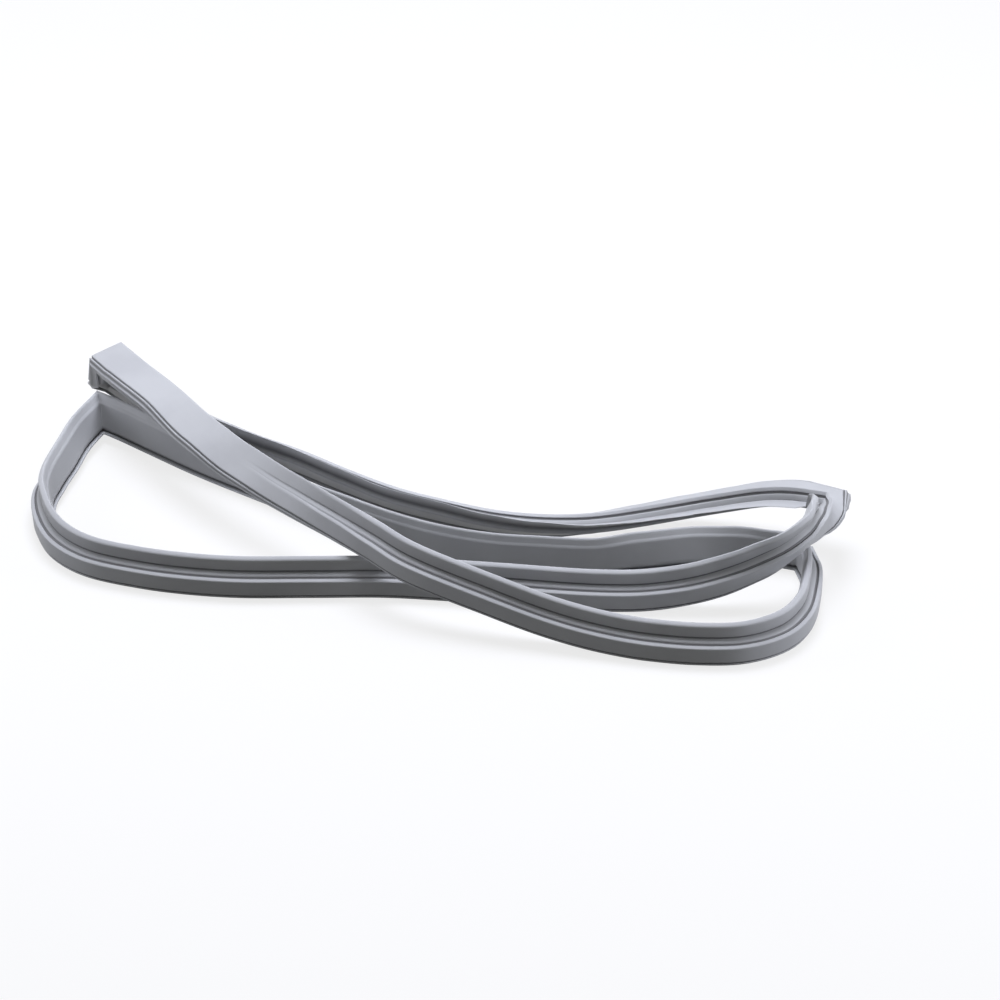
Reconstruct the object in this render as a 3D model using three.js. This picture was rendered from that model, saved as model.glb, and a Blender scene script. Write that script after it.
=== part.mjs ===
// Refrigerator door gasket, taken off its door and laid down in folds.
// One closed loop of soft extruded PVC with four mitred corners, as one solid.
// Millimetres, Z up. X runs right and Y away from the viewer.

import * as THREE from "three";

// Driving dimensions of the extruded section
const sectionWidth = 31;
const bulbTop = 7.8;
const bulbLength = 15;
const bulbGroove = 1.2;
const flangeTop = 1.8;
const flangeThickness = 3.2;
const flangeReach = 9;
const pillowDepth = 6.4;
const finDepth = 7.4;
const finThickness = 1;
const ribStep = 0.9;

// How the loop is divided along its length
const stationSpacing = 12.6;
const cornerClearance = 19;

const half = sectionWidth / 2;

// Section outline. u runs across the width to the flange lip, v out of the bulb side.
// fold is 1 where the pleat between flange and bulb is shut and 0 where it is pulled flat.
function sectionOutline(fold) {
  const step = half - flangeReach;
  const level = THREE.MathUtils.lerp(bulbTop - 1.2, flangeTop, fold);
  const rise = bulbTop - level;
  const rib = ribStep * fold;
  const bulbEnd = step - bulbLength;
  return [
    [half, level - 1.2],
    [half - 0.8, level],
    [step + 0.6, level],
    [step - 0.2, level + rise * 0.3],
    [step - 0.2 - rib, level + rise * 0.5],
    [step - 0.4, level + rise * 0.7],
    [step - 1.6, bulbTop],
    [bulbEnd, bulbTop - 0.3],
    [bulbEnd - 0.6, bulbTop - 0.3 - bulbGroove],
    [bulbEnd - 1.6, bulbTop - 0.9 - bulbGroove],
    [bulbEnd - 3.4, bulbTop - 0.9 - bulbGroove],
    [-half, 4],
    [-half, -1.2],
    [-half + 1, -3.2],
    [-half + 2, -finDepth],
    [-half + 2 + finThickness, -finDepth],
    [-half + 4, -3.8],
    [-half + 5, -pillowDepth + 0.8],
    [-half + 6.6, -pillowDepth],
    [half - 8.4, -pillowDepth],
    [half - 6, -pillowDepth + 1],
    [half - 5, level - flangeThickness - 0.2],
    [half - 1, level - flangeThickness],
    [half, level - flangeThickness + 0.9],
  ];
}

// The route, as rows of x, y, z, roll in degrees and fold of the pleat.
// Roll 90 stands the section on its edge, lip up. Roll 0 lays it flat, bulb up.
// Each run starts and ends at a mitred corner.
const cornerUnderStack = [-237, 90, 15.5, 92, 1];
const cornerRaised = [278, -66, 38, 5, 1];
const cornerOnStack = [-240, 126, 48, 54, 0.2];
const cornerCovered = [262, -104, 15.5, 90, 1];

const frontRun = [
  cornerUnderStack,
  [-247, 66, 15.8, 98, 1],
  [-262, 30, 16.4, 104, 1],
  [-270, 0, 16.6, 104, 1],
  [-275, -30, 16, 98, 1],
  [-276, -60, 15.5, 90, 1],
  [-264, -95, 15.5, 90, 1],
  [-238, -118, 15.5, 90, 1],
  [-203, -129, 15.5, 90, 1],
  [-133, -138, 15.5, 90, 1],
  [-28, -143, 15.5, 90, 1],
  [42, -152, 15.5, 90, 1],
  [112, -162, 15.5, 90, 1],
  [150, -161, 16.5, 86, 1],
  [182, -157, 21, 70, 1],
  [212, -160, 31, 32, 1],
  [236, -159, 40, 12, 1],
  [253, -142, 43.6, 6, 1],
  [265, -108, 43.6, 5, 1],
  [271, -88, 41, 5, 1],
  cornerRaised,
];

const backRun = [
  cornerRaised,
  [256, -54, 34, 4, 1],
  [234, -43, 26, 4, 1],
  [208, -35, 17, 6, 1],
  [182, -31, 12, 12, 1],
  [147, -45, 13.4, 20, 1],
  [112, -57, 14.4, 27, 1],
  [77, -60, 15, 30, 1],
  [42, -56, 15.6, 34, 1],
  [7, -45, 17, 42, 1],
  [-28, -31, 19, 51, 1],
  [-63, -13, 21, 56, 1],
  [-98, 18, 24, 58, 1],
  [-126, 35, 26, 60, 1],
  [-152, 55, 27, 60, 1],
  [-184, 95, 28, 60, 0.8],
  [-207, 127, 31, 58, 0.5],
  [-225, 140, 40, 56, 0.3],
  cornerOnStack,
];

const topRun = [
  cornerOnStack,
  [-228, 107, 49.4, 52, 0],
  [-204, 74, 49.8, 50, 0],
  [-168, 12, 49.8, 52, 0],
  [-133, -42, 49.8, 56, 0],
  [-98, -89, 49.8, 64, 0.2],
  [-63, -130, 49.8, 76, 0.6],
  [-38, -158, 49.2, 84, 0.9],
  [-14, -176, 44, 88, 1],
  [42, -200, 32, 90, 1],
  [80, -212, 23, 90, 1],
  [112, -222, 17, 90, 1],
  [147, -233, 15.5, 90, 1],
  [182, -240, 15.5, 90, 1],
  [214, -235, 15.5, 90, 1],
  [238, -218, 15.5, 90, 1],
  [254, -192, 15.5, 90, 1],
  [261, -162, 15.5, 90, 1],
  [264, -128, 15.5, 90, 1],
  cornerCovered,
];

const middleRun = [
  cornerCovered,
  [236, -105, 15.8, 96, 1],
  [208, -106, 17, 104, 1],
  [182, -106, 17.4, 108, 1],
  [147, -109, 16.2, 98, 1],
  [112, -114, 15.5, 90, 1],
  [77, -111, 15.5, 90, 1],
  [42, -107, 15.5, 90, 1],
  [7, -92, 15.5, 90, 1],
  [-28, -74, 15.5, 90, 1],
  [-63, -50, 15.5, 90, 1],
  [-98, -24, 15.5, 90, 1],
  [-133, 6, 15.5, 90, 1],
  [-168, 38, 15.5, 90, 1],
  [-203, 68, 15.5, 91, 1],
  [-219, 79, 15.5, 92, 1],
  cornerUnderStack,
];

const up = new THREE.Vector3(0, 0, 1);

// Stations of one run: position, direction, roll and fold, from corner to corner.
function runStations(rows) {
  const places = rows.map(([x, y, z]) => new THREE.Vector3(x, y, z));
  const curve = new THREE.CatmullRomCurve3(places, false, "centripetal");
  curve.arcLengthDivisions = 800;
  const length = curve.getLength();
  const count = Math.round((length - 2 * cornerClearance) / stationSpacing);
  const stations = [];
  for (let i = 0; i <= count; i++) {
    const travelled = cornerClearance + ((length - 2 * cornerClearance) * i) / count;
    stations.push(stationAt(rows, curve, curve.getUtoTmapping(travelled / length)));
  }
  return stations;
}

function stationAt(rows, curve, t) {
  const along = Math.min(t * (rows.length - 1), rows.length - 1.000001);
  const row = Math.floor(along);
  const share = THREE.MathUtils.smoothstep(along - row, 0, 1);
  return {
    place: curve.getPoint(t),
    direction: curve.getTangent(t),
    roll: THREE.MathUtils.lerp(rows[row][3], rows[row + 1][3], share),
    fold: THREE.MathUtils.lerp(rows[row][4], rows[row + 1][4], share),
  };
}

// The section set square to a direction at a place.
function ringOffsets(direction, roll, fold) {
  const outward = new THREE.Vector3().crossVectors(direction, up).normalize();
  const upright = new THREE.Vector3().crossVectors(outward, direction).normalize();
  const angle = THREE.MathUtils.degToRad(roll);
  const across = upright.clone().multiplyScalar(Math.sin(angle)).addScaledVector(outward, -Math.cos(angle));
  const through = outward.clone().multiplyScalar(Math.sin(angle)).addScaledVector(upright, Math.cos(angle));
  return sectionOutline(fold).map(([u, v]) => {
    return new THREE.Vector3().addScaledVector(across, u).addScaledVector(through, v);
  });
}

// A strand that lies on the floor touches it and doesn't sink in.
function laidAt(place, offsets) {
  const ring = offsets.map((offset) => offset.clone().add(place));
  const sunk = Math.min(0, ...ring.map((point) => point.z));
  ring.forEach((point) => (point.z -= sunk));
  return ring;
}

function stationRing(station) {
  return laidAt(station.place, ringOffsets(station.direction, station.roll, station.fold));
}

// The ring in the mitre plane between the last station of one run and the first of the next.
function mitreRing(corner, before, after) {
  const place = new THREE.Vector3(corner[0], corner[1], corner[2]);
  const arriving = place.clone().sub(before.place).normalize();
  const leaving = after.place.clone().sub(place).normalize();
  const normal = arriving.clone().add(leaving).normalize();
  const slide = (direction) => {
    return ringOffsets(direction, corner[3], corner[4]).map((offset) => {
      return offset.addScaledVector(direction, -offset.dot(normal) / direction.dot(normal));
    });
  };
  const first = slide(arriving);
  const second = slide(leaving);
  return laidAt(place, first.map((offset, i) => offset.lerp(second[i], 0.5)));
}

function loopRings() {
  const runs = [frontRun, backRun, topRun, middleRun];
  const stations = runs.map(runStations);
  const rings = [];
  runs.forEach((rows, i) => {
    const previous = stations[(i + 3) % 4];
    rings.push(mitreRing(rows[0], previous[previous.length - 1], stations[i][0]));
    stations[i].forEach((station) => rings.push(stationRing(station)));
  });
  return rings;
}

// Skin between neighbouring rings, closed on itself.
function closedSweep(rings) {
  const points = rings[0].length;
  const positions = rings.flat().flatMap((point) => [point.x, point.y, point.z]);
  const faces = [];
  for (let i = 0; i < rings.length; i++) {
    const here = i * points;
    const next = ((i + 1) % rings.length) * points;
    for (let j = 0; j < points; j++) {
      const k = (j + 1) % points;
      faces.push(here + j, next + k, next + j);
      faces.push(here + j, here + k, next + k);
    }
  }
  const geometry = new THREE.BufferGeometry();
  geometry.setAttribute("position", new THREE.Float32BufferAttribute(positions, 3));
  geometry.setIndex(faces);
  return geometry;
}

// Moves the loop so that it lies on the floor, with the middle of its footprint at the origin.
function setDown(geometry) {
  geometry.computeBoundingBox();
  const { min, max } = geometry.boundingBox;
  geometry.translate(-(min.x + max.x) / 2, -(min.y + max.y) / 2, -min.z);
  geometry.computeVertexNormals();
  return geometry;
}

const softGrey = new THREE.MeshStandardMaterial({ color: 0xb4b6bd, roughness: 0.55, metalness: 0 });
softGrey.name = "soft_pvc";

const gasket = new THREE.Mesh(setDown(closedSweep(loopRings())), softGrey);
gasket.name = "gasket";

const object = new THREE.Group();
object.name = "refrigerator_door_gasket";
object.add(gasket);

export default object;
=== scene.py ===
# %% [markdown]
# # A refrigerator door gasket, lying loose in folds
# The object is the soft seal that runs round a refrigerator door. It is one long
# plastic profile, cut into four lengths and welded at four mitred corners. Off its
# door it has nothing to hold it flat, so it lies on its edge and crosses itself.
# This lesson sweeps one section along one route, which is how the profile itself
# is made: the die gives the section, and the way that it lies gives the route.

# %% Load the fixed frame
import math
import bmesh
import bpy
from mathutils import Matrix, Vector


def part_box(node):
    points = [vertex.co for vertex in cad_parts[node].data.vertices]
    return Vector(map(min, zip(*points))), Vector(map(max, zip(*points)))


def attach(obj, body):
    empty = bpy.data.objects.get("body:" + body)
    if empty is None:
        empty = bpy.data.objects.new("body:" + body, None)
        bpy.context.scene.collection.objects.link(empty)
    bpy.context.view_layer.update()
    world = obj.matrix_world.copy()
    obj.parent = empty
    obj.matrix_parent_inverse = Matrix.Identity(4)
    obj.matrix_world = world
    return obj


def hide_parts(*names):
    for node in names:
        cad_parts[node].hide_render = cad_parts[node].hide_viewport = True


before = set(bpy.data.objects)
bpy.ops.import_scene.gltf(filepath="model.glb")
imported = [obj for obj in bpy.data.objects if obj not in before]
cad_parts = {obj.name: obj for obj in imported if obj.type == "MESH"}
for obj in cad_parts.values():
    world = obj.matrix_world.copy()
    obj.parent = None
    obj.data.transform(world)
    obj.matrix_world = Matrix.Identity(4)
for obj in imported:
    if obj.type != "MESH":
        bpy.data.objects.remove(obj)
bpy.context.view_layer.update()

MM = 0.001
print("nodes in the frame:", sorted(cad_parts))

# %% [markdown]
# ## Camera
# The camera comes first, so that each later step can be compared with the photo.
# It looks along +Y from a little above, through a long lens, which keeps the near
# and the far strand at nearly the same scale. The spot that it looks at is right
# of the gasket's middle, because the photo leaves more room at that side.

# %% Camera at the photo's angle
ELEVATION = math.radians(28)
LENS_MM = 200
SENSOR_MM = 36
PICTURE_WIDTH = 0.715
LOOK_AT = Vector((0.0432, 0.0443, 0.0))
CLIP_END = 30

camera_data = bpy.data.cameras.new("studio_camera")
camera_data.lens = LENS_MM
camera_data.sensor_width = SENSOR_MM
camera_data.clip_end = CLIP_END
camera = bpy.data.objects.new("studio_camera", camera_data)
distance = PICTURE_WIDTH * LENS_MM / SENSOR_MM
camera.location = LOOK_AT + distance * Vector((0, -math.cos(ELEVATION), math.sin(ELEVATION)))
camera.rotation_euler = (math.pi / 2 - ELEVATION, 0, 0)
bpy.context.scene.collection.objects.link(camera)
bpy.context.scene.camera = camera
print("camera distance in metres:", round(distance, 3))

# %% [markdown]
# ## The section
# The die of a gasket gives a bulb that holds the magnetic strip, a flange with a
# lip beside it, a pleat between the two, and on the other side a smooth pillow
# and a thin fin. One outline could be typed for each state of the pleat. Here one
# function gives the outline for any state, so the pleat can open along the way.
# Where the pleat is pulled flat the pillow goes thin with it. Where the strand
# leans, the flange stands free of the pillow, and where it stands on its edge the
# soft lip droops back.

# %% Corners of the section, in millimetres
SECTION_WIDTH = 30
BULB_TOP = 7.8
BULB_FALL = 0.3
BULB_LENGTH = 13.4
BULB_GROOVE = 1.7
FLANGE_TOP = 0.2
FLANGE_THICKNESS = 2.6
FLANGE_REACH = 12
FLANGE_FREE = 10.4
LIP_DROOP = 1.8
PLEAT_BEAD = 0.9
PILLOW_DEPTH = 6.4
FLAT_PILLOW_DEPTH = 2.6
LIP_TIP = 1
LIP_ROUNDING = 0.45
FIN_DEPTH = 7.4
FIN_THICKNESS = 1
RIB_STEP = 1
STEP_SLOPE = 2.6
HALF = SECTION_WIDTH / 2


def mix(a, b, share):
    return a + (b - a) * share


def eased(share):
    """A share from 0 to 1 that starts and ends gently."""
    return share * share * (3 - 2 * share)


def section_corners(fold, stand):
    """Corners as (u, v, rounding, shade).

    fold is 1 where the pleat is shut and 0 where it is pulled flat. stand is 1 where
    the strand stands on its edge, so that the soft lip droops back.
    """
    step = HALF - FLANGE_REACH
    level = mix(BULB_TOP - BULB_FALL, FLANGE_TOP, fold)
    crest = mix(BULB_TOP - BULB_FALL, BULB_TOP, fold)
    rise = crest - level
    pillow = mix(FLAT_PILLOW_DEPTH, PILLOW_DEPTH, fold)
    fin = pillow + FIN_DEPTH - PILLOW_DEPTH
    tip = mix(LIP_TIP, FLANGE_THICKNESS, stand)
    rib = RIB_STEP * fold
    bead = PLEAT_BEAD * fold
    droop = LIP_DROOP * stand * fold
    closed = max(stand, 1 - fold)
    root = HALF - mix(FLANGE_FREE, FLANGE_FREE / 2, closed)
    back = mix(level - FLANGE_THICKNESS, -pillow + 1, closed)
    lip_back = level - droop - tip
    bulb_end = step - BULB_LENGTH
    # The fourth value of each corner is painted shade. From 0 to 1, it darkens the colour in grooves
    # and recesses, where shade would fall.
    return [
        (HALF, lip_back + tip * LIP_ROUNDING, 0.5, 0),
        (HALF - 0.7, level - droop - 0.1, 0.4, 0),
        (HALF - 1.5, level - droop * 0.35, 0.5, 0),
        (HALF - 2.4, level, 0.5, 0),
        (step + 2.4, level, 0.25, 0.2 * fold),
        (step + 1.9, level - bead, 0.15, fold),
        (step + 1.2, level - bead, 0.15, fold),
        (step + 0.7, level, 0.2, 0.3 * fold),
        (step - STEP_SLOPE * 0.25, level + rise * 0.36, 0.25, 0.1 * fold),
        (step - STEP_SLOPE * 0.4 - rib, level + rise * 0.44, 0.2, fold),
        (step - STEP_SLOPE * 0.6 - rib, level + rise * 0.58, 0.2, fold),
        (step - STEP_SLOPE * 0.65, level + rise * 0.68, 0.25, 0),
        (step - STEP_SLOPE - 0.4, crest, 0.6, 0),
        (bulb_end, BULB_TOP - BULB_FALL, 0.4, 0),
        (bulb_end - 0.5, BULB_TOP - BULB_GROOVE, 0.2, 1),
        (bulb_end - 1.2, BULB_TOP - BULB_GROOVE, 0.2, 1),
        (bulb_end - 1.6, BULB_TOP - 1, 0.25, 0),
        (bulb_end - 2.5, BULB_TOP - 1.2, 0.25, 0),
        (bulb_end - 2.9, BULB_TOP - BULB_GROOVE - 1.6, 0.2, 0.8),
        (-HALF, 3.4, 0.6, 0),
        (-HALF, 5.2 - pillow, 0.7, 0),
        (-HALF + 1, 3.2 - pillow, 0.5, 0.3),
        (-HALF + 2, -fin, 0.3, 0),
        (-HALF + 2 + FIN_THICKNESS, -fin, 0.3, 0),
        (-HALF + 4, 2.6 - pillow, 0.4, 1),
        (-HALF + 5, 0.8 - pillow, 0.4, 0.4),
        (-HALF + 6.6, -pillow, 0.8, 0),
        (root - 2, -pillow, 0.7, 0),
        (root - 0.8, 0.5 - pillow, 0.5, 0.2 * (1 - closed)),
        (root, back, 0.4, 1 - closed),
        (HALF - 1, lip_back, 0.6, 0),
    ]


print("corners in the section:", len(section_corners(1, 1)))

# %% [markdown]
# ## Rounding
# Soft PVC leaves the die with no sharp edge. A bevel on the finished sweep would
# round the same edges, but it would also break the even rows that the pattern of
# the surface follows. So each corner is rounded in the section, before the sweep.
# A point on either side of each round holds the flat stretch flat in the shading.

# %% Rounded section
ROUND_STEPS = 2
ROUND_SHARE = 0.42
HOLD = 0.35
HOLD_SHARE = 0.47


def rounded_section(fold, stand):
    """Rounded outline as (u, v, shade)."""
    corners = section_corners(fold, stand)
    outline = []
    for i, (u, v, radius, shade) in enumerate(corners):
        here = Vector((u, v))
        before = Vector(corners[i - 1][:2]) - here
        after = Vector(corners[(i + 1) % len(corners)][:2]) - here
        reach = min(radius, before.length * ROUND_SHARE, after.length * ROUND_SHARE)
        start = here + before.normalized() * reach
        end = here + after.normalized() * reach
        held = here + before.normalized() * min(reach + HOLD, before.length * HOLD_SHARE)
        outline.append((held.x, held.y, shade))
        for j in range(ROUND_STEPS + 1):
            t = j / ROUND_STEPS
            point = start * (1 - t) ** 2 + here * 2 * t * (1 - t) + end * t ** 2
            outline.append((point.x, point.y, shade))
        held = here + after.normalized() * min(reach + HOLD, after.length * HOLD_SHARE)
        outline.append((held.x, held.y, shade))
    return outline


SECTION_POINTS = len(rounded_section(1, 1))
print("points in the rounded section:", SECTION_POINTS)

# %% [markdown]
# ## The route
# Each run goes from one mitred corner to the next. A row holds x, y and z in
# millimetres, the roll of the section in degrees, and the state of the pleat.
# At roll 90 the section stands on its edge, and at roll 0 it lies flat. The rows
# follow the strands of the solid model, read once more and finer from the photo.

# %% Route of the four runs
CORNER_UNDER_STACK = (-245, 105, 17, 106, 1)
CORNER_RAISED = (278, -74, 36, 0, 1)
CORNER_ON_STACK = (-238, 127, 46.5, 16, 0)
CORNER_COVERED = (260, -106, 15, 90, 1)

FRONT_RUN = [
    CORNER_UNDER_STACK,
    (-259, 66, 17, 108, 1),
    (-266, 34, 16.6, 110, 1),
    (-273, 4, 16.4, 107, 1),
    (-277, -22, 16, 100, 1),
    (-273, -56, 15.4, 92, 1),
    (-260, -90, 15, 90, 1),
    (-238, -114, 15, 90, 1),
    (-203, -130, 15, 90, 1),
    (-170, -139, 15, 90, 1),
    (-133, -144, 15, 90, 1),
    (-80, -144, 15, 90, 1),
    (-28, -144, 15, 90, 1),
    (42, -153, 15, 90, 1),
    (112, -163, 15, 90, 1),
    (152, -164, 16, 90, 1),
    (190, -163, 23, 96, 1),
    (222, -159, 34, 108, 1),
    (243, -153, 43, 118, 1),
    (258, -140, 48.4, 116, 1),
    (267, -120, 48.6, 92, 1),
    (273, -101, 44, 48, 1),
    CORNER_RAISED,
]

BACK_RUN = [
    CORNER_RAISED,
    (256, -62, 34, -4, 1),
    (234, -53, 29, 0, 1),
    (208, -46, 21, 6, 1),
    (182, -44, 15, 12, 1),
    (147, -54, 13.4, 18, 1),
    (112, -66, 14.4, 26, 1),
    (77, -68, 15, 36, 1),
    (42, -62, 15.8, 43, 1),
    (7, -49, 17.4, 50, 1),
    (-28, -33, 19, 51, 1),
    (-63, -9, 21, 56, 1),
    (-98, 18, 23, 58, 1),
    (-130, 38, 25, 60, 1),
    (-160, 62, 26, 60, 1),
    (-190, 101, 20, 62, 0.8),
    (-216, 125, 17, 60, 0.6),
    (-239, 139, 23, 48, 0.3),
    CORNER_ON_STACK,
]

TOP_RUN = [
    CORNER_ON_STACK,
    (-221, 99, 46.4, 10, 0),
    (-198, 63, 46.4, 10, 0),
    (-166, 8, 46, 24, 0),
    (-133, -38, 46, 44, 0),
    (-98, -79, 46.2, 60, 0.2),
    (-63, -119, 46.4, 74, 0.6),
    (-38, -149, 46, 84, 0.9),
    (-14, -172, 42, 88, 1),
    (42, -199, 31, 90, 1),
    (80, -212, 22, 90, 1),
    (112, -222, 17, 90, 1),
    (147, -232, 15, 90, 1),
    (182, -238, 15, 90, 1),
    (214, -236, 15, 90, 1),
    (240, -220, 15, 90, 1),
    (255, -194, 15, 90, 1),
    (261.5, -162, 15, 90, 1),
    (264, -130, 15, 90, 1),
    CORNER_COVERED,
]

MIDDLE_RUN = [
    CORNER_COVERED,
    (238, -99, 15.3, 84, 1),
    (208, -101, 16.4, 104, 1),
    (182, -104, 16.8, 112, 1),
    (147, -108, 16, 104, 1),
    (112, -112, 15, 90, 1),
    (77, -109, 15, 90, 1),
    (42, -104, 15, 90, 1),
    (7, -92, 15, 90, 1),
    (-28, -72, 15, 90, 1),
    (-63, -46, 15, 90, 1),
    (-98, -20, 15, 90, 1),
    (-133, 8, 15, 92, 1),
    (-168, 37, 15.4, 96, 1),
    (-203, 69, 16, 102, 1),
    (-224, 87, 17, 106, 1),
    CORNER_UNDER_STACK,
]

RUNS = [FRONT_RUN, BACK_RUN, TOP_RUN, MIDDLE_RUN]
print("rows in the route:", sum(len(run) for run in RUNS))

# %% [markdown]
# ## A smooth line through the rows
# A Bezier curve needs handles that someone sets by hand. A Catmull-Rom curve goes
# through its points by itself, and its centripetal form makes no loops where the
# points are uneven, so it suits a route that is a list of places.

# %% Centripetal Catmull-Rom curve
UP = Vector((0, 0, 1))


def curve_place(places, along):
    """Point and direction at a distance counted in rows."""
    last = len(places) - 1
    row = min(int(along), last - 1)
    t = along - row
    p1, p2 = places[row], places[row + 1]
    p0 = places[row - 1] if row > 0 else p1 * 2 - p2
    p3 = places[row + 2] if row + 2 <= last else p2 * 2 - p1
    d0, d1, d2 = (math.sqrt((b - a).length) for a, b in ((p0, p1), (p1, p2), (p2, p3)))
    m1 = ((p1 - p0) / d0 - (p2 - p0) / (d0 + d1) + (p2 - p1) / d1) * d1
    m2 = ((p2 - p1) / d1 - (p3 - p1) / (d1 + d2) + (p3 - p2) / d2) * d1
    c2 = (p2 - p1) * 3 - m1 * 2 - m2
    c3 = (p1 - p2) * 2 + m1 + m2
    place = p1 + m1 * t + c2 * t * t + c3 * t ** 3
    slope = m1 + c2 * 2 * t + c3 * 3 * t * t
    return place, slope.normalized()


front_places = [Vector(row[:3]) for row in FRONT_RUN]
print("halfway along the front run:", curve_place(front_places, len(front_places) / 2)[0])

# %% [markdown]
# ## Stations along a run
# The sweep needs the section at even steps. The curve is measured in short chords
# first, and each station is then looked up by the length travelled. Roll and pleat
# ease from one row to the next, so nothing on the profile kinks.

# %% Stations at even steps
STATION_SPACING = 5.0
CORNER_CLEARANCE = 19
CHORDS_PER_ROW = 60


def measured(places):
    """Lengths travelled at each chord's end."""
    count = (len(places) - 1) * CHORDS_PER_ROW
    points = [curve_place(places, i / CHORDS_PER_ROW)[0] for i in range(count + 1)]
    lengths = [0.0]
    for a, b in zip(points, points[1:]):
        lengths.append(lengths[-1] + (b - a).length)
    return lengths


def row_at(lengths, travelled):
    """Distance in rows at a length travelled."""
    low, high = 0, len(lengths) - 1
    while high - low > 1:
        middle = (low + high) // 2
        if lengths[middle] <= travelled:
            low = middle
        else:
            high = middle
    share = (travelled - lengths[low]) / (lengths[high] - lengths[low])
    return (low + share) / CHORDS_PER_ROW


def run_stations(run):
    """Stations of one run as (place, direction, roll, fold), clear of its two corners."""
    places = [Vector(row[:3]) for row in run]
    lengths = measured(places)
    open_length = lengths[-1] - 2 * CORNER_CLEARANCE
    count = round(open_length / STATION_SPACING)
    stations = []
    for i in range(count + 1):
        along = row_at(lengths, CORNER_CLEARANCE + open_length * i / count)
        row = min(int(along), len(run) - 2)
        share = eased(along - row)
        place, direction = curve_place(places, along)
        roll = mix(run[row][3], run[row + 1][3], share)
        fold = mix(run[row][4], run[row + 1][4], share)
        stations.append((place, direction, roll, fold))
    return stations


stations_by_run = [run_stations(run) for run in RUNS]
print("stations in each run:", [len(stations) for stations in stations_by_run])

# %% [markdown]
# ## The section set on the route
# A frame that only turns with the curve would drift and end twisted. This one is
# built from the direction and the vertical at each place, then rolled by the angle
# in the rows, so each strand leans as chosen and the loop meets itself.

# %% Rings of points
LEANING_ROLL = 60
STANDING_ROLL = 84


def stand_of(roll):
    """1 where the strand stands on its edge and 0 where it leans or lies flat."""
    return eased(min(1, max(0, (roll - LEANING_ROLL) / (STANDING_ROLL - LEANING_ROLL))))


def ring_offsets(direction, roll, fold):
    """The section set square to a direction, as offsets from its place."""
    outward = direction.cross(UP).normalized()
    upright = outward.cross(direction).normalized()
    angle = math.radians(roll)
    across = upright * math.sin(angle) - outward * math.cos(angle)
    through = outward * math.sin(angle) + upright * math.cos(angle)
    return [across * u + through * v for u, v, _ in rounded_section(fold, stand_of(roll))]


def laid_at(place, offsets):
    """A strand that lies on the floor touches it and doesn't sink in."""
    ring = [place + offset for offset in offsets]
    sunk = min(0.0, min(point.z for point in ring))
    return [point - UP * sunk for point in ring]


# %% [markdown]
# ## Mitred corners
# The four lengths are cut at an angle and butt-welded with a hot plate. The weld
# leaves a thin bead on the mitre plane. Sliding the section along each length until
# it meets that plane gives the cut, and a ring on either side gives the bead its foot.

# %% Rings at a weld
BEAD_HEIGHT = 1.012
BEAD_FOOT = 0.9


def weld_rings(corner, before, after):
    """Three rings: foot, crest and foot of the bead."""
    place = Vector(corner[:3])
    arriving = (place - before[0]).normalized()
    leaving = (after[0] - place).normalized()
    normal = (arriving + leaving).normalized()

    def slid(direction):
        offsets = ring_offsets(direction, corner[3], corner[4])
        return [o - direction * (o.dot(normal) / direction.dot(normal)) for o in offsets]

    crest = [(a + b) / 2 for a, b in zip(slid(arriving), slid(leaving))]
    first = [offset - arriving * BEAD_FOOT for offset in crest]
    second = [offset + leaving * BEAD_FOOT for offset in crest]
    raised = [offset * BEAD_HEIGHT for offset in crest]
    return [laid_at(place, offsets) for offsets in (first, raised, second)]


def groove_shade_marks(roll, fold):
    """Painted shade for each point of a ring, from 0 to 1, strongest deep in grooves."""
    return [shade for _, _, shade in rounded_section(fold, stand_of(roll))]


rings = []
# Each ring gets painted shade values for its grooves, one for each point.
shade_marks = []
for i, run in enumerate(RUNS):
    rings += weld_rings(run[0], stations_by_run[i - 1][-1], stations_by_run[i][0])
    shade_marks += [groove_shade_marks(run[0][3], run[0][4])] * 3
    for place, direction, roll, fold in stations_by_run[i]:
        rings.append(laid_at(place, ring_offsets(direction, roll, fold)))
        shade_marks.append(groove_shade_marks(roll, fold))
print("rings in the sweep:", len(rings))

# %% [markdown]
# ## The same place as the solid
# The solid model lies on the floor with the middle of its footprint at the origin.
# The frame gives its box, and the sweep is moved so that the middles of both boxes
# and the floor agree. The sweep is a finer reading, so its box differs by 2 mm or less.

# %% Move the sweep onto the solid
node_low, node_high = (Vector(corner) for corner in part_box("gasket"))
all_points = [point for ring in rings for point in ring]
sweep_low = Vector([min(point[axis] for point in all_points) for axis in range(3)]) * MM
sweep_high = Vector([max(point[axis] for point in all_points) for axis in range(3)]) * MM
shift = (node_low + node_high) / 2 - (sweep_low + sweep_high) / 2
shift.z = node_low.z - sweep_low.z
rings = [[point * MM + shift for point in ring] for ring in rings]
print("shift in millimetres:", [round(value / MM, 2) for value in shift])

# %% [markdown]
# ## The sweep
# A curve object with a bevel shape could sweep the section, but it can't change
# the pleat or mitre a corner. Here the first ring is drawn as edges, each next ring
# is extruded from the last and put in its place, and the last is bridged to the first.

# %% Extrude the section from ring to ring
def drawn_ring(bm, points):
    verts = [bm.verts.new(point) for point in points]
    edges = [bm.edges.new((a, b)) for a, b in zip(verts, verts[1:] + verts[:1])]
    return verts, edges


def extruded_ring(bm, verts, edges, points):
    """Extrudes a ring of edges and puts each new vertex at its point."""
    made = bmesh.ops.extrude_edge_only(bm, edges=edges)["geom"]
    new_verts = {item for item in made if isinstance(item, bmesh.types.BMVert)}
    new_edges = [item for item in made if isinstance(item, bmesh.types.BMEdge)]
    ordered = []
    for vert, point in zip(verts, points):
        twin = next(e.other_vert(vert) for e in vert.link_edges if e.other_vert(vert) in new_verts)
        twin.co = point
        ordered.append(twin)
    ring_edges = [edge for edge in new_edges if all(v in new_verts for v in edge.verts)]
    return ordered, ring_edges


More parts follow.
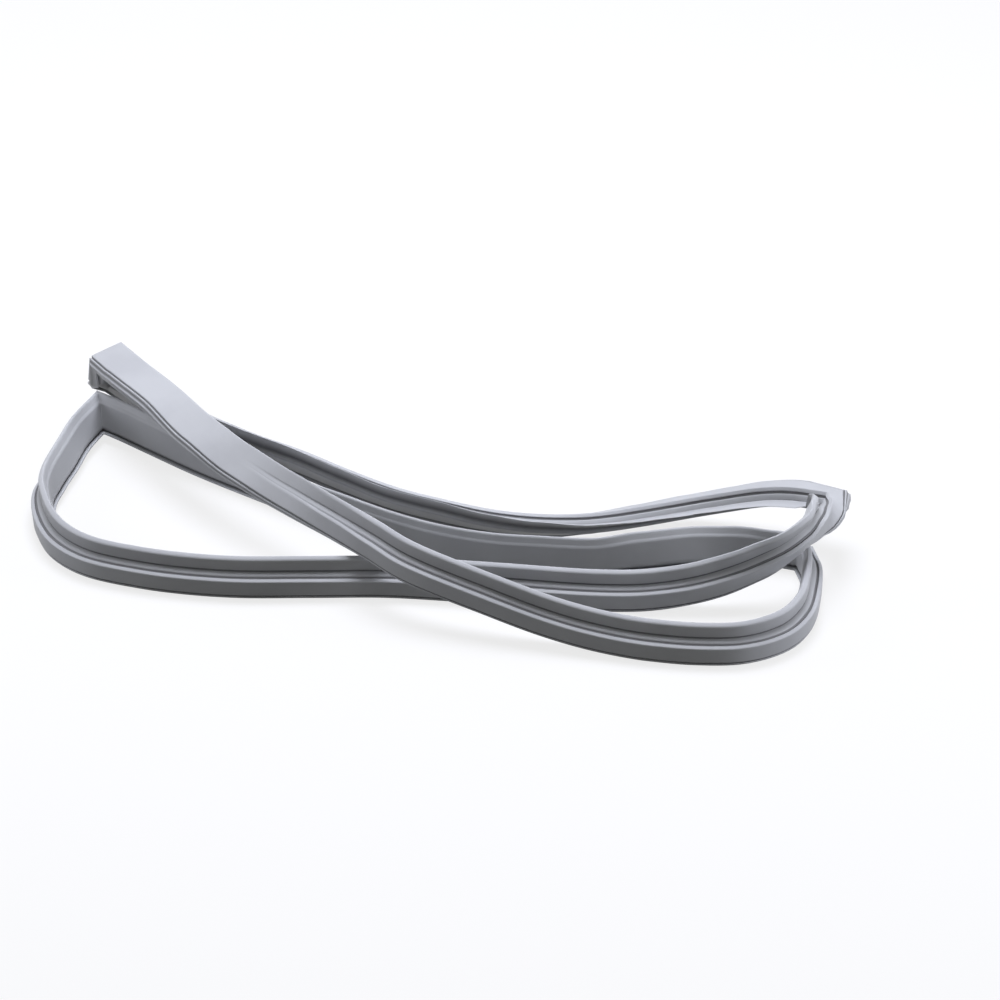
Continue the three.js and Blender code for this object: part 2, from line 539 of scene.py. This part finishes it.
bm = bmesh.new()
verts, edges = drawn_ring(bm, rings[0])
rows_of_verts = [verts]
for points in rings[1:] + rings[:1]:
    verts, edges = extruded_ring(bm, verts, edges, points)
    rows_of_verts.append(verts)
print("vertices before closing:", len(bm.verts))

# %% [markdown]
# ## A map that follows the profile
# The die leaves faint lines along the profile. A pattern on Object coordinates
# would cut across them where the strand bends, so each face gets a map in metres:
# U along the strand and V round the section. A colour layer holds painted shade,
# which darkens the grooves and recesses.

# %% Map and painted shade layer
uv_layer = bm.loops.layers.uv.new("profile")
# The colour layer holds painted shade for the grooves and recesses.
groove_shade_layer = bm.loops.layers.float_color.new("groove_shade")
ring_centres = [sum(ring, Vector()) / SECTION_POINTS for ring in rings]
travelled = [0.0]
for a, b in zip(ring_centres, ring_centres[1:] + ring_centres[:1]):
    travelled.append(travelled[-1] + (b - a).length)

outline = [Vector((u, v)) for u, v, _ in rounded_section(1, 1)]
round_lengths = [0.0]
for a, b in zip(outline, outline[1:] + outline[:1]):
    round_lengths.append(round_lengths[-1] + (b - a).length * MM)

index_of = {}
for r, verts in enumerate(rows_of_verts):
    for j, vert in enumerate(verts):
        index_of[vert] = (r, j)
for face in bm.faces:
    places = [index_of[vert] for vert in face.verts]
    wraps = max(j for _, j in places) - min(j for _, j in places) > 1
    for loop, (r, j) in zip(face.loops, places):
        around = SECTION_POINTS if wraps and j == 0 else j
        loop[uv_layer].uv = (travelled[r], round_lengths[around])
        shade_mark = shade_marks[r % len(shade_marks)][j]
        loop[groove_shade_layer] = (shade_mark, shade_mark, shade_mark, 1)
print("length of the loop in metres:", round(travelled[-1], 3))

# %% [markdown]
# ## Close the loop
# The last ring lies on the first, so merging doubles closes the skin. Normals are
# then made to point outwards, because an extrusion can leave them either way.

# %% Finish the mesh
bmesh.ops.remove_doubles(bm, verts=bm.verts, dist=0.00001)
bmesh.ops.recalc_face_normals(bm, faces=bm.faces)
for face in bm.faces:
    face.smooth = True
mesh = bpy.data.meshes.new("gasket_profile")
open_edges = sum(1 for edge in bm.edges if len(edge.link_faces) != 2)
bm.to_mesh(mesh)
bm.free()
profile = bpy.data.objects.new("gasket_profile", mesh)
bpy.context.scene.collection.objects.link(profile)
print("faces:", len(mesh.polygons), "open edges:", open_edges)

# %% [markdown]
# ## Helpers for materials
# One function turns an sRGB hex value to the linear colour that the shader wants,
# and one adds a node with its settings and links.

# %% Colour and node helpers
def srgb(value):
    def linear(part):
        part /= 255
        return part / 12.92 if part <= 0.04045 else ((part + 0.055) / 1.055) ** 2.4
    red, green, blue = (int(value[i:i + 2], 16) for i in (1, 3, 5))
    return (linear(red), linear(green), linear(blue), 1)


def add_node(tree, kind, settings=None, links=None):
    """Adds a node, sets its properties or sockets, and links its inputs."""
    node = tree.nodes.new(kind)
    for name, value in (settings or {}).items():
        if isinstance(name, str) and hasattr(node, name):
            setattr(node, name, value)
        else:
            node.inputs[name].default_value = value
    for name, output in (links or {}).items():
        tree.links.new(output, node.inputs[name])
    return node


def new_material(name):
    material = bpy.data.materials.new(name)
    material.use_nodes = True
    material.node_tree.nodes.clear()
    return material, material.node_tree


print("middle grey in linear light:", srgb("#808080"))

# %% [markdown]
# ## Extruded soft PVC
# Gasket PVC is plasticised until it is as soft as rubber. The die leaves it satin,
# with faint lines along its length, and handling and dust leave soft cloudy marks.
# The eye reads it as a dull grey with a broad sheen. Its IOR is about 1.53, and its
# roughness about 0.5. Die lines are 0.05 mm apart on the real one, which is too fine
# to show, so they are drawn ten times as coarse. The grooves and recesses are
# darkened with painted shade from the colour layer.

# %% Soft PVC material
PVC_GREY = "#BDBEC0"
PVC_CLOUD = "#B0B1B4"
# Painted shade: the colour that the grooves and recesses are darkened towards.
PVC_GROOVE_SHADE = "#6C6C6E"
CLOUD_SIZE = 0.045
CLOUD_STRENGTH = 0.55
DIE_LINE_SPACING = 0.0005
DIE_LINE_HEIGHT = 0.00006
SMOOTHEST = 0.46
ROUGHEST = 0.6

pvc, tree = new_material("plasticised_pvc_extruded")
object_place = add_node(tree, "ShaderNodeTexCoord")
profile_map = add_node(tree, "ShaderNodeUVMap", {"uv_map": "profile"})
groove_shade = add_node(tree, "ShaderNodeVertexColor", {"layer_name": "groove_shade"})

cloud = add_node(tree, "ShaderNodeTexNoise", {"Scale": 1 / CLOUD_SIZE, "Detail": 3, "Roughness": 0.5},
                 {"Vector": object_place.outputs["Object"]})
cloud_share = add_node(tree, "ShaderNodeMapRange",
                       {"From Min": 0.42, "From Max": 0.66, "To Min": 0, "To Max": CLOUD_STRENGTH},
                       {"Value": cloud.outputs["Fac"]})
clouded = add_node(tree, "ShaderNodeMix", {"data_type": "RGBA", 6: srgb(PVC_GREY), 7: srgb(PVC_CLOUD)},
                   {0: cloud_share.outputs["Result"]})
# Painted shade: the colour layer darkens the grooves and recesses.
groove_shaded = add_node(tree, "ShaderNodeMix", {"data_type": "RGBA", 7: srgb(PVC_GROOVE_SHADE)},
                   {0: groove_shade.outputs["Color"], 6: clouded.outputs[2]})

stretched = add_node(tree, "ShaderNodeMapping", {"Scale": (4, 1 / DIE_LINE_SPACING, 1)},
                     {"Vector": profile_map.outputs["UV"]})
die_lines = add_node(tree, "ShaderNodeTexNoise", {"Scale": 1, "Detail": 2},
                     {"Vector": stretched.outputs["Vector"]})
sheen = add_node(tree, "ShaderNodeMapRange", {"To Min": SMOOTHEST, "To Max": ROUGHEST},
                 {"Value": die_lines.outputs["Fac"]})
bump = add_node(tree, "ShaderNodeBump", {"Strength": 0.25, "Distance": DIE_LINE_HEIGHT},
                {"Height": die_lines.outputs["Fac"]})
shader = add_node(tree, "ShaderNodeBsdfPrincipled", {"IOR": 1.53, "Metallic": 0},
                  {"Base Color": groove_shaded.outputs[2], "Roughness": sheen.outputs["Result"],
                   "Normal": bump.outputs["Normal"]})
add_node(tree, "ShaderNodeOutputMaterial", None, {"Surface": shader.outputs["BSDF"]})
mesh.materials.append(pvc)

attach(profile, "root")
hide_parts("gasket")
print("material:", pvc.name)

# %% [markdown]
# ## The floor
# The photo has a white ground with hardly a shadow. A floor that is white to
# everything would fill the shaded sides with light from below. This one is white
# to the camera and a dark grey to the object. Most of its white glows by itself,
# and the rest is paint, which keeps a soft shadow.

# %% White ground that keeps a shadow
FLOOR_SIZE = 12
FLOOR_PAINT = "#F4F4F6"
FLOOR_TO_OBJECT = "#565653"
PAINT_SHARE = 0.22


def seen_directly(tree):
    """1 where the camera sees the surface, itself or in a reflection, and 0 elsewhere."""
    path = add_node(tree, "ShaderNodeLightPath")
    seen = add_node(tree, "ShaderNodeMath", {"operation": "MAXIMUM"},
                    {0: path.outputs["Is Camera Ray"], 1: path.outputs["Is Glossy Ray"]})
    return seen.outputs[0]


def mixed_shader(tree, share, first, second):
    """A mix of two shaders, by a value or by another node's output."""
    if isinstance(share, float):
        mixed = add_node(tree, "ShaderNodeMixShader", {0: share})
    else:
        mixed = add_node(tree, "ShaderNodeMixShader", None, {0: share})
    tree.links.new(first.outputs[0], mixed.inputs[1])
    tree.links.new(second.outputs[0], mixed.inputs[2])
    return mixed


floor_mesh = bpy.data.meshes.new("studio_floor")
floor_bm = bmesh.new()
bmesh.ops.create_grid(floor_bm, x_segments=1, y_segments=1, size=FLOOR_SIZE / 2)
floor_bm.to_mesh(floor_mesh)
floor_bm.free()
floor = bpy.data.objects.new("studio_floor", floor_mesh)
bpy.context.scene.collection.objects.link(floor)

floor_material, tree = new_material("painted_studio_floor")
glow = add_node(tree, "ShaderNodeEmission", {"Color": (1, 1, 1, 1), "Strength": 1.0})
paint = add_node(tree, "ShaderNodeBsdfDiffuse", {"Color": srgb(FLOOR_PAINT)})
ground = add_node(tree, "ShaderNodeBsdfDiffuse", {"Color": srgb(FLOOR_TO_OBJECT)})
white_floor = mixed_shader(tree, PAINT_SHARE, glow, paint)
shown = mixed_shader(tree, seen_directly(tree), ground, white_floor)
add_node(tree, "ShaderNodeOutputMaterial", None, {"Surface": shown.outputs[0]})
floor_mesh.materials.append(floor_material)
print("floor material:", floor_material.name)

# %% [markdown]
# ## World and lamps
# The photo shows light tops, dark upright sides, and light again on the sides that
# face left and right. One bright dome would even all that out. So the world gives
# little light, a broad lamp hangs above and behind, and a smaller one stands at
# each side.

# %% World and lamps
AMBIENT_COLOUR = "#F4F4EE"
AMBIENT_STRENGTH = 0.13
LAMP_COLOUR = "#F0F3FF"

world = bpy.data.worlds.new("studio_world")
bpy.context.scene.world = world
world.use_nodes = True
tree = world.node_tree
tree.nodes.clear()
ambient = add_node(tree, "ShaderNodeBackground",
                   {"Color": srgb(AMBIENT_COLOUR), "Strength": AMBIENT_STRENGTH})
white = add_node(tree, "ShaderNodeBackground", {"Color": (1, 1, 1, 1), "Strength": 1.0})
backdrop = mixed_shader(tree, seen_directly(tree), ambient, white)
add_node(tree, "ShaderNodeOutputWorld", None, {"Surface": backdrop.outputs[0]})


def disk_lamp(name, place, size, power):
    """A round area lamp that faces the middle of the gasket."""
    lamp_data = bpy.data.lights.new(name, "AREA")
    lamp_data.shape = "DISK"
    lamp_data.size = size
    lamp_data.energy = power
    lamp_data.color = srgb(LAMP_COLOUR)[:3]
    lamp = bpy.data.objects.new(name, lamp_data)
    lamp.location = place
    lamp.rotation_euler = (-Vector(place)).to_track_quat("-Z", "Y").to_euler()
    bpy.context.scene.collection.objects.link(lamp)


disk_lamp("overhead_lamp", (0.0, 0.55, 1.8), size=1.3, power=40)
disk_lamp("left_side_lamp", (-1.7, 0.1, 0.7), size=0.9, power=9)
disk_lamp("right_side_lamp", (1.7, -0.25, 0.45), size=0.8, power=15)
bpy.context.scene.view_settings.view_transform = "Standard"
